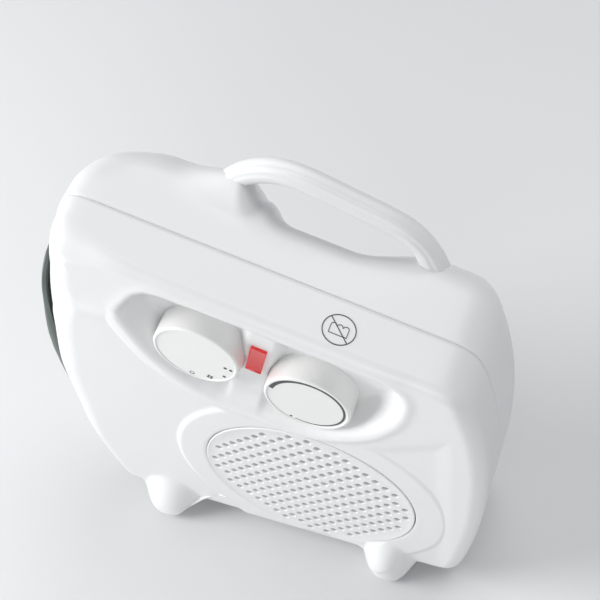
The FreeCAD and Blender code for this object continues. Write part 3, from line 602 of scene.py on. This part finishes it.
# Moves the plain rear body into its real shape: the finger scoop and the ramp up to the grip.
def rearPlace(x, y, z):
    mask = smooth((x - grip["fromX"]) / grip["leftBlend"]) * smooth((grip["toX"] - x) / grip["rightBlend"])
    scoop = mask * smooth((z - 168) / 52)
    limit = rearBack - (rearBack - grip["lipY"]) * scoop
    nearTop = smooth((z - topHeight(x) + 26) / 22)
    limit = limit + grip["nubReach"] * np.exp(-((x - grip["nubX"]) / 3.4) ** 4) * nearTop
    share = (y - seamY) / (rearBack - seamY)
    newY = seamY + share * (limit - seamY)
    ramp = smooth((x + 44) / 36) * (1 - smooth((x + 9) / 9)) * smooth((y - 10) / 20)
    swell = toeSwell(x, z) * 0.48 * smooth((y - 34) / 8)
    corner = 7 * smooth((-46 - x) / 46) * smooth((z - 150) / 100) * smooth((y - 2) / 40)
    return x + corner, newY + swell - corner, z + grip["rampHeight"] * ramp * nearTop - corner


def rearShell():
    holeRadius = span("rear_intake_grille")[1].x - airX - 3.0 + 0.3
    edgeRadius = rearEdge()
    radiusHere = np.interp(angles, *sortedByAngle(edgeRadius))
    x, z = ringPlaces(np.full(body["around"], holeRadius))
    skin = Skin(x, rearBack - body["wall"], z)
    first = list(skin.edges)
    skin.grow(x, rearBack - 0.5, z)
    x, z = ringPlaces(np.full(body["around"], holeRadius + 0.5))
    skin.grow(x, rearBack, z)
    faceEdge = ringRadii(edgeRadius, lobe=1.0)
    rings = 60
    for step in range(1, rings + 1):
        x, z = ringPlaces(holeRadius + 0.5 + (faceEdge - holeRadius - 0.5) * step / rings)
        skin.grow(*rearPlace(x, np.full(x.shape, rearBack), z))
    turns = 14
    for step in range(1, turns + 1):
        turn = step / turns * math.pi / 2
        x, z = ringPlaces(ringRadii(edgeRadius * (1 - math.sin(turn)), lobe=1.0))
        skin.grow(*rearPlace(x, rearBack - radiusHere * (1 - math.cos(turn)), z))
    rows = 16
    for step in range(1, rows + 1):
        share = step / rows
        x, z = ringPlaces(ringRadii(0.0, lobe=1.0 - smooth(share * 1.4)))
        y = (rearBack - radiusHere) * (1 - share) + (seamY + 0.55) * share
        skin.grow(*rearPlace(x, y, z))
    for inset in (0.4, body["wall"]):
        x, z = ringPlaces(ringRadii(inset))
        skin.grow(x, seamY + 0.05, z)
    for depth in (40.0, 30.0, 22.0, 15.0, 9.0, 5.0):
        x, z = ringPlaces(ringRadii(body["wall"] + 0.4 + roundedInset(edgeRadius, depth - body["wall"])))
        x, y, z = rearPlace(x, np.full(x.shape, rearBack - depth), z)
        skin.grow(x, y - 0.8, z)
    innerEdge = ringRadii(edgeRadius + 2)
    inner = 20
    for step in range(inner, -1, -1):
        x, z = ringPlaces(holeRadius + 1.0 + (innerEdge - holeRadius - 1.0) * step / inner)
        x, y, z = rearPlace(x, np.full(x.shape, rearBack), z)
        skin.grow(x, y - body["wall"], z)
    skin.close(first)
    return skin.bm


rearSkin = rearShell()
rearSurface = BVHTree.FromBMesh(rearSkin)
finishPiece("rear_cover", rearSkin, "housing", whiteShell, 50, ("rear_shell",))

# the case screws, one near each corner of the back
screws = {"places": ((-95, 34), (102, 27), (-86, 236), (107, 194)), "radius": 3.2, "top": 2.7,
          "height": 2.0, "socket": 1.1, "socketLip": 0.3, "socketDepth": 0.7}


def screwHeads():
    bm = bmesh.new()
    for x, z in screws["places"]:
        spot, normal, _, _ = rearSurface.ray_cast(Vector((x, 100, z)), Vector((0, -1, 0)))
        if normal.y < 0:
            normal = -normal
        place = Matrix.Translation(spot) @ normal.to_track_quat("Z", "Y").to_matrix().to_4x4()
        verts = bmesh.ops.create_cone(bm, cap_ends=True, segments=32, radius1=screws["radius"],
                                      radius2=screws["top"], depth=screws["height"], matrix=place)["verts"]
        caps = [f for f in {f for v in verts for f in v.link_faces} if len(f.verts) > 4]
        top = max(caps, key=lambda f: (f.calc_center_median() - spot).dot(normal))
        land = screws["top"] - screws["socket"] - screws["socketLip"]
        bmesh.ops.inset_region(bm, faces=[top], thickness=land, depth=0.0)
        bmesh.ops.inset_region(bm, faces=[top], thickness=screws["socketLip"], depth=-screws["socketDepth"])
    return bm


finishPiece("case_screw_heads", screwHeads(), "housing", turnedSteel, 35, ("case_screws",))


# Points along a smooth curve through a few places.
def smoothPath(points, count):
    points = np.array(points, float)
    at = np.r_[0, np.cumsum(np.linalg.norm(np.diff(points, axis=0), axis=1))]
    even = np.linspace(0, at[-1], count)
    line = np.c_[[np.interp(even, at, points[:, i]) for i in range(3)]].T
    for _ in range(count // 3):
        line[1:-1] = (line[:-2] + 2 * line[1:-1] + line[2:]) / 4
    return line


# The bar: a soft-cornered section with two lengthwise flutes, flared where it meets the body.
def handle():
    line = smoothPath(grip["path"], 90)
    power = grip["squareness"]
    across = np.array([0.0, 1.0, 0.0])
    count = 56
    turn = np.linspace(0, 2 * math.pi, count, endpoint=False)
    flute = 1 - grip["flute"] * (bump(turn, math.radians(100), 0.20) + bump(turn, math.radians(152), 0.20))
    bm = bmesh.new()
    ring = bmesh.ops.create_circle(bm, cap_ends=True, segments=count, radius=1.0)["verts"]
    ring.sort(key=lambda v: math.atan2(v.co.y, v.co.x) % (2 * math.pi))
    faces = list(bm.faces)
    total = len(line) - 1
    for index, centre in enumerate(line):
        tangent = line[min(index + 1, total)] - line[max(index - 1, 0)]
        tangent /= np.linalg.norm(tangent)
        up = np.cross(tangent, across)
        up /= np.linalg.norm(up)
        flare = 1 + 0.6 * smooth((17 - index) / 17) + 0.5 * smooth((index - total + 18) / 18)
        if index:
            made = bmesh.ops.extrude_face_region(bm, geom=faces)["geom"]
            bmesh.ops.delete(bm, geom=faces, context="FACES_ONLY")
            faces = [g for g in made if isinstance(g, bmesh.types.BMFace)]
            ring = nextRing(ring, freshOnes(made)[0])
        for vert, a, dent in zip(ring, turn, flute):
            reach = dent * flare * (abs(math.cos(a)) ** power + abs(math.sin(a)) ** power) ** (-1 / power)
            sideways = across * (math.cos(a) * grip["depth"] * reach)
            vert.co = centre + sideways + up * (math.sin(a) * grip["height"] * reach)
    return bm


finishPiece("handle_bar", handle(), "housing", whiteShell, 60)


# side intake: a bowed screen of fine slanted louvres

intake = {"y": 4.0, "z": 138.0, "halfDepth": 24.0, "halfHeight": 78.0, "corner": 19.0, "bow": 6.4,
          "pitch": 4.2, "slat": 1.5, "thick": 1.1, "slant": 0.22, "screenBack": 1.6, "screenThick": 1.0,
          "rimProud": 0.6, "rimHalf": 1.5}


# A point on the bowed screen, standing out of it by out.
def intakePlace(y, z, out):
    wallX = sideX(body["left"], body["leftWideZ"], body["leftBows"], 1, z)
    across = 1 - ((y - intake["y"]) / (intake["halfDepth"] + 2)) ** 2
    lift = intakeLift(z)
    return float(wallX) - lift - (intake["bow"] - lift) * max(across, 0) + 0.4 - out, y, z


# How far the rim stands off the flank: least near the top, most half way down.
def intakeLift(z):
    return float(1.4 + 4.0 * smooth((198 - z) / 60) * smooth((z - 52) / 30))


def halfDepthAt(z):
    past = abs(z - intake["z"]) - (intake["halfHeight"] - intake["corner"])
    if past <= 0:
        return intake["halfDepth"]
    return intake["halfDepth"] - intake["corner"] + math.sqrt(max(intake["corner"] ** 2 - past ** 2, 0))


# One louvre: a strip bent along the screen, with two faces and rounded ends.
def intakeSlat(bm, z):
    half = halfDepthAt(z) - 1.2
    grid = bmesh.ops.create_grid(bm, x_segments=14, y_segments=1, size=1.0)["verts"]
    faces = list({f for v in grid for f in v.link_faces})
    made = bmesh.ops.extrude_face_region(bm, geom=faces, use_keep_orig=True)["geom"]
    raised = freshOnes(made)[0]
    for verts, out in ((grid, 0.0), (raised, intake["thick"])):
        for vert in verts:
            y = intake["y"] + vert.co.x * half
            tip = math.sqrt(max(1 - vert.co.x ** 2, 0.0)) ** 0.2 if abs(vert.co.x) > 0.8 else 1.0
            slatZ = z + vert.co.y * intake["slat"] / 2 * max(tip, 0.3) + intake["slant"] * (y - intake["y"])
            vert.co = intakePlace(y, slatZ, out)


def intakeScreen():
    bm = bmesh.new()
    backing = bmesh.ops.create_grid(bm, x_segments=16, y_segments=60, size=1.0)["verts"]
    made = bmesh.ops.extrude_face_region(bm, geom=list(bm.faces), use_keep_orig=True)["geom"]
    inner = freshOnes(made)[0]
    back = -intake["screenBack"]
    for verts, out in ((backing, back), (inner, back - intake["screenThick"])):
        for vert in verts:
            z = intake["z"] + vert.co.y * (intake["halfHeight"] - 1.0)
            vert.co = intakePlace(intake["y"] + vert.co.x * (halfDepthAt(z) - 1.0), z, out)
    count = int(2 * (intake["halfHeight"] - 9) / intake["pitch"])
    for index in range(count + 1):
        intakeSlat(bm, intake["z"] + (index - count / 2) * intake["pitch"])
    return bm


# The rounded frame round the screen, a bead swept along its outline.
def intakeRim():
    sides, around = 10, 120
    bm = bmesh.new()
    ring = bmesh.ops.create_circle(bm, segments=sides, radius=1.0)["verts"]
    ring.sort(key=lambda v: math.atan2(v.co.y, v.co.x) % (2 * math.pi))
    edges = list(bm.edges)
    first = list(edges)
    for index in range(around):
        turn = 2 * math.pi * index / around
        z = intake["z"] + intake["halfHeight"] * math.copysign(abs(math.sin(turn)) ** 0.55, math.sin(turn))
        y = intake["y"] + halfDepthAt(z) * math.copysign(min(1, abs(math.cos(turn)) * 5), math.cos(turn))
        if index:
            verts, edges = freshOnes(bmesh.ops.extrude_edge_only(bm, edges=edges)["geom"])
            ring = nextRing(ring, verts)
        outwards = Vector((0, y - intake["y"], (z - intake["z"]) * 0.35)).normalized()
        for place, vert in enumerate(ring):
            angle = 2 * math.pi * place / sides
            half = intakeLift(z) / 2 + intake["rimProud"]
            base = Vector(intakePlace(y, z, intake["rimProud"] - half + half * math.sin(angle)))
            vert.co = base + outwards * (intake["rimHalf"] * math.cos(angle))
    bmesh.ops.bridge_loops(bm, edges=edges + first)
    return bm


finishPiece("intake_screen", intakeScreen(), "housing", intakeDark, 45,
            ("side_intake_grille",))
finishPiece("intake_rim", intakeRim(), "housing", intakeDark, 60)


# front grille

grille = {"hole": 1.95, "countersink": 0.45, "rimWidth": 1.6, "margin": 4.5, "pitch": 7.3, "thick": 2.3}
mouthRadius = grille["hole"] + grille["countersink"]


def grillePlate():
    radius = grilleHigh.x - airX
    bm = bmesh.new()
    bmesh.ops.create_circle(bm, segments=160, radius=radius - grille["rimWidth"])
    reach = int(radius / grille["pitch"]) * 2 + 2
    for i in range(-reach, reach + 1):
        for j in range(-reach, reach + 1):
            across = (i + j) * grille["pitch"] / math.sqrt(2)
            up = (j - i) * grille["pitch"] / math.sqrt(2)
            if math.hypot(across, up) < radius - grille["margin"]:
                bmesh.ops.create_circle(bm, segments=16, radius=mouthRadius,
                                        matrix=Matrix.Translation((across, up, 0)))
    bmesh.ops.triangle_fill(bm, use_beauty=True, edges=list(bm.edges), normal=(0, 0, 1))
    inHoles = [f for f in bm.faces if insideHole(f)]
    bmesh.ops.delete(bm, geom=inHoles, context="FACES")
    # down through the countersink, then the hole, to the back
    loops = [e for e in bm.edges if len(e.link_faces) == 1]
    holeLoops = [e for e in loops if e.verts[0].co.length < radius - 2.2]
    hole = grille["hole"]
    for depth, size in ((0.22, 0.88 * mouthRadius), (0.65, hole), (grille["thick"], hole)):
        fresh, holeLoops = freshOnes(bmesh.ops.extrude_edge_only(bm, edges=holeLoops)["geom"])
        for vert in fresh:
            centre = nearestHole(vert.co)
            out = Vector((vert.co.x - centre[0], vert.co.y - centre[1], 0)).normalized()
            vert.co = (centre[0] + out.x * size, centre[1] + out.y * size, -depth)
    # the raised rim and the plate's edge
    outer = [e for e in loops if e.verts[0].co.length > radius - 2.2]
    for grow, height in ((0.35, 0.12), (0.8, 0.20), (1.3, 0.10), (1.6, -0.25), (1.6, -grille["thick"])):
        fresh, outer = freshOnes(bmesh.ops.extrude_edge_only(bm, edges=outer)["geom"])
        for vert in fresh:
            out = Vector((vert.co.x, vert.co.y, 0)).normalized() * (radius - grille["rimWidth"] + grow)
            vert.co = (out.x, out.y, height)
    backEdges = [e for e in bm.edges if len(e.link_faces) == 1]
    bmesh.ops.triangle_fill(bm, use_beauty=True, edges=backEdges, normal=(0, 0, -1))
    low = [f for f in bm.faces if all(v.co.z < 0.05 - grille["thick"] for v in f.verts) and insideHole(f)]
    bmesh.ops.delete(bm, geom=low, context="FACES")
    turned = Matrix.Translation((airX, frontY, airZ)) @ Matrix.Rotation(math.radians(90), 4, "X")
    bmesh.ops.transform(bm, matrix=turned, verts=bm.verts)
    return bm


def nearestHole(place):
    i = round((place.x - place.y) / math.sqrt(2) / grille["pitch"])
    j = round((place.x + place.y) / math.sqrt(2) / grille["pitch"])
    return ((i + j) * grille["pitch"] / math.sqrt(2), (j - i) * grille["pitch"] / math.sqrt(2))


# True if a face lies inside one hole.
def insideHole(face):
    centre = nearestHole(face.calc_center_median())
    size = mouthRadius + 0.01
    return all(math.hypot(v.co.x - centre[0], v.co.y - centre[1]) < size for v in face.verts)


finishPiece("outlet_grille", grillePlate(), "housing", whiteGrille, 35, ("front_grille",))


# knobs

knob = {"radius": 23.2, "faceRadius": 22.9, "edge": 1.3, "dishRadius": 20.9, "dishDepth": 0.5,
        "segments": 128, "wall": 2.4, "hubRadius": 6.0, "boreRadius": 3.1}
markY = knobFace + knob["dishDepth"] - 0.04


# A lightly tapered cap with a soft rim and a shallow dished face, turned from a profile.
def knobShape(at):
    height = knobBack - knobFace
    dish = knob["dishDepth"]
    outer, hub, bore = knob["radius"], knob["hubRadius"], knob["boreRadius"]
    profile = [(0.0, dish), (10.0, dish), (knob["dishRadius"], dish), (knob["dishRadius"] + 0.35, 0.05),
               (knob["dishRadius"] + 0.55, 0.0)]
    for step in range(0, 7):
        turn = step / 6 * math.pi / 2
        inward = knob["edge"] * (1 - math.sin(turn))
        profile.append((knob["faceRadius"] - inward, knob["edge"] * (1 - math.cos(turn))))
    # the side, the open back and the hub that takes the shaft
    profile += [(outer - 0.1, height * 0.6), (outer, height - 0.6), (outer - 0.4, height),
                (outer - knob["wall"] + 0.2, height), (outer - knob["wall"], height * 0.45),
                (hub, height * 0.40), (hub - 0.4, height - 1.0), (bore, height - 1.0), (bore, height * 0.45),
                (0.0, height * 0.45)]
    bm = bmesh.new()
    verts = [bm.verts.new((r, y, 0)) for r, y in profile]
    edges = [bm.edges.new(pair) for pair in zip(verts, verts[1:])]
    bmesh.ops.spin(bm, geom=verts + edges, cent=(0, 0, 0), axis=(0, 1, 0), angle=2 * math.pi,
                   steps=knob["segments"], use_merge=True)
    bmesh.ops.remove_doubles(bm, verts=bm.verts, dist=0.0005)
    bmesh.ops.translate(bm, vec=(at.x, knobFace, at.z), verts=bm.verts)
    return bm


# A flat printed mark: quads between pairs of points, all at depth y.
def inlay(bm, outlinePairs, y):
    ring = [bmesh.ops.create_vert(bm, co=(x, y, z))["vert"][0] for x, z in outlinePairs[0]]
    edges = [bm.edges.new(ring)]
    faces = []
    for pair in outlinePairs[1:]:
        made = bmesh.ops.extrude_edge_only(bm, edges=edges)["geom"]
        verts, edges = freshOnes(made)
        faces += [item for item in made if isinstance(item, bmesh.types.BMFace)]
        ring = nextRing(ring, verts)
        for vert, (x, z) in zip(ring, pair):
            vert.co = (x, y, z)
    return faces


# Gives flat marks a thickness towards +Y, into the surface they are printed on.
def thicken(bm, faces, depth):
    made = bmesh.ops.extrude_face_region(bm, geom=faces, use_keep_orig=True)["geom"]
    bmesh.ops.translate(bm, vec=(0, depth, 0), verts=freshOnes(made)[0])


# The point at a radius and an angle from a centre.
def around(centre, radius, degrees):
    turn = math.radians(degrees)
    return centre[0] + radius * math.cos(turn), centre[1] + radius * math.sin(turn)


# A band along an arc, whose width may change evenly from one end to the other.
def arcBand(centre, radius, width, start, end, steps, endWidth=None):
    endWidth = width if endWidth is None else endWidth
    pairs = []
    for step in range(steps + 1):
        share = step / steps
        half = (width + (endWidth - width) * share) / 2
        degrees = start + (end - start) * share
        pairs.append([around(centre, radius + side * half, degrees) for side in (-1, 1)])
    return pairs


def disc(centre, radius):
    return arcBand(centre, radius / 2, radius, 0, 360, 20)


finishPiece("function_cap", knobShape(functionAt), "function_knob", whiteKnob, 30,
            ("function_knob",))
finishPiece("thermostat_cap", knobShape(thermostatAt), "thermostat_knob", whiteKnob, 30,
            ("thermostat_knob",))


scale = {"radius": 19.6, "wide": 2.3, "narrow": 0.6, "start": 157, "end": -115, "dotAt": -122, "dot": 0.8}


# The heat scale: an arc that thins as it runs clockwise round the face, and a dot past its end.
def thermostatMark():
    bm = bmesh.new()
    centre = (thermostatAt.x, thermostatAt.z)
    band = arcBand(centre, scale["radius"], scale["wide"], scale["start"], scale["end"], 110, scale["narrow"])
    faces = inlay(bm, band, markY)
    faces += inlay(bm, disc(around(centre, scale["radius"], scale["dotAt"]), scale["dot"]), markY)
    thicken(bm, faces, 0.2)
    return bm


finishPiece("thermostat_mark", thermostatMark(), "thermostat_knob", markGrey, 60)


marks = {
    # each as its angle and radius on the knob's face
    "off": (-107, 19.0), "offRadius": 1.15, "offLine": 0.45,
    "fan": (-76, 18.4), "leaf": 0.75, "leafReach": 1.15,
    "heat": ((-47, 19.0), (-19, 15.9), (-19, 18.9)), "heatDot": 0.95,
}


# Off, fan, low heat and high heat, each where its position comes.
def functionMarks():
    bm = bmesh.new()
    knobCentre = (functionAt.x, functionAt.z)

    def at(angle, radius):
        return around(knobCentre, radius, angle)

    faces = inlay(bm, arcBand(at(*marks["off"]), marks["offRadius"], marks["offLine"], 0, 360, 24), markY)
    for leaf in (20, 110, 200, 290):
        faces += inlay(bm, disc(around(at(*marks["fan"]), marks["leafReach"], leaf), marks["leaf"]), markY)
    for place in marks["heat"]:
        faces += inlay(bm, disc(at(*place), marks["heatDot"]), markY)
    thicken(bm, faces, 0.2)
    return bm


finishPiece("function_marks", functionMarks(), "function_knob", markGrey, 60)


# indicator lens

lens = {"border": 0.7, "sunk": 0.8, "bevel": 0.2}


def lensShape():
    low, high = span("indicator_lens")
    bm = bmesh.new()
    cube = bmesh.ops.create_cube(bm, size=1.0)["verts"]
    bmesh.ops.scale(bm, vec=(high.x - low.x, high.y - low.y, high.z - low.z), verts=cube)
    bmesh.ops.translate(bm, vec=lampAt, verts=cube)
    face = min(bm.faces, key=lambda f: f.calc_center_median().y)
    bmesh.ops.inset_region(bm, faces=[face], thickness=lens["border"], depth=0)
    bmesh.ops.translate(bm, vec=(0, lens["sunk"], 0), verts=list(face.verts))
    bmesh.ops.bevel(bm, geom=list(bm.edges), offset=lens["bevel"], segments=2, profile=0.5,
                    affect="EDGES", material=-1)
    slant = Matrix.Rotation(math.atan(body["slope"]), 4, "Y")
    onAxis = Matrix.Translation(lampAt) @ slant @ Matrix.Translation(-lampAt)
    bmesh.ops.transform(bm, matrix=onAxis, verts=bm.verts)
    return bm


finishPiece("lamp_lens", lensShape(), "housing", lensRed, 40, ("indicator_lens",))


# generic sign on the top: a draped cloth in a barred circle

sign = {
    "x": 55.2, "y": -24.2, "ring": 7.9, "ringLine": 0.55, "fold": 1.4, "line": 0.4,
    "thick": 0.25, "proud": 0.02,
    # the bar across the ring, then the cloth's hem and its two sides
    "strokes": (((-5.4, 5.4), (5.4, -5.4), 0.5), ((-4.4, -2.9), (4.4, -2.9), 0.4),
                ((-4.4, -2.9), (-4.4, 1.2), 0.4), ((4.4, -2.9), (4.4, 1.2), 0.4)),
    "folds": ((-3.0, 1.3), (0.0, 1.3), (3.0, 1.3)),
}


def topSign():
    bm = bmesh.new()
    faces = inlay(bm, arcBand((0, 0), sign["ring"], sign["ringLine"], 0, 360, 72), 0)
    for start, end, width in sign["strokes"]:
        along = (Vector(end) - Vector(start)).normalized()
        side = Vector((-along.y, along.x)) * width / 2
        faces += inlay(bm, [[tuple(Vector(point) + side), tuple(Vector(point) - side)]
                            for point in (start, end)], 0)
    for fold in sign["folds"]:
        faces += inlay(bm, arcBand(fold, sign["fold"], sign["line"], 0, 180, 12), 0)
    thicken(bm, faces, sign["thick"])
    tilt = Matrix.Rotation(math.atan(body["slope"]), 4, "Y") @ Matrix.Rotation(math.radians(-90), 4, "X")
    where = Matrix.Translation((sign["x"], sign["y"], topHeight(sign["x"]) + sign["proud"]))
    bmesh.ops.transform(bm, matrix=where @ tilt, verts=bm.verts)
    return bm


finishPiece("top_sign", topSign(), "housing", markGrey, 60)


# stage, light and camera

def stage():
    bpy.ops.mesh.primitive_plane_add(size=6.0, location=(0, 0, 0))
    floor = bpy.context.object
    floor.name = "floor"
    look = Look("paleFloor")
    look.tint(look.noise(3.0, 2.0), (0.70, 0.705, 0.71), (0.68, 0.685, 0.69))
    look.feed("Roughness", look.noise(5.0) * 0.1 + 0.5)
    floor.data.materials.append(look.material)


def lamp(name, place, target, size, power):
    data = bpy.data.lights.new(name, "AREA")
    data.shape = "DISK"
    data.size = size
    data.energy = power
    lampObject = bpy.data.objects.new(name, data)
    bpy.context.scene.collection.objects.link(lampObject)
    lampObject.location = place
    lampObject.rotation_euler = (Vector(target) - Vector(place)).to_track_quat("-Z", "Y").to_euler()


view = {
    "lens": 68.64, "sensor": 36.0, "place": (0.18084, -0.28577, 0.66647),
    "right": (0.93545, 0.33589, -0.10998), "down": (0.21640, -0.79033, -0.57318),
    "onward": (-0.27944, 0.51238, -0.81201),
}


def camera():
    data = bpy.data.cameras.new("view")
    data.lens = view["lens"]
    data.sensor_width = view["sensor"]
    data.dof.use_dof = False
    viewer = bpy.data.objects.new("view", data)
    bpy.context.scene.collection.objects.link(viewer)
    axes = Matrix((Vector(view["right"]), -Vector(view["down"]), -Vector(view["onward"]))).transposed()
    viewer.matrix_world = Matrix.Translation(view["place"]) @ axes.to_4x4()
    bpy.context.scene.camera = viewer


# each light's place, what it points at, its diameter and its power
lights = {
    "windowLeft": ((-1.2, -0.45, 0.75), (0, 0, 0.14), 0.8, 19),
    "ceiling": ((0.3, 0.7, 1.7), (0, 0, 0.1), 1.4, 12),
    "frontFill": ((0.5, -1.7, 0.8), (0, 0, 0.12), 1.2, 8),
}
room = {"colour": (0.86, 0.90, 0.92, 1), "strength": 0.42}


def roomLight():
    world = bpy.data.worlds.new("room")
    world.use_nodes = True
    background = world.node_tree.nodes["Background"]
    background.inputs["Color"].default_value = room["colour"]
    background.inputs["Strength"].default_value = room["strength"]
    bpy.context.scene.world = world


stage()
for lightName, values in lights.items():
    lamp(lightName, *values)
roomLight()
bpy.context.scene.view_settings.view_transform = "Standard"
camera()
print("stage ready")
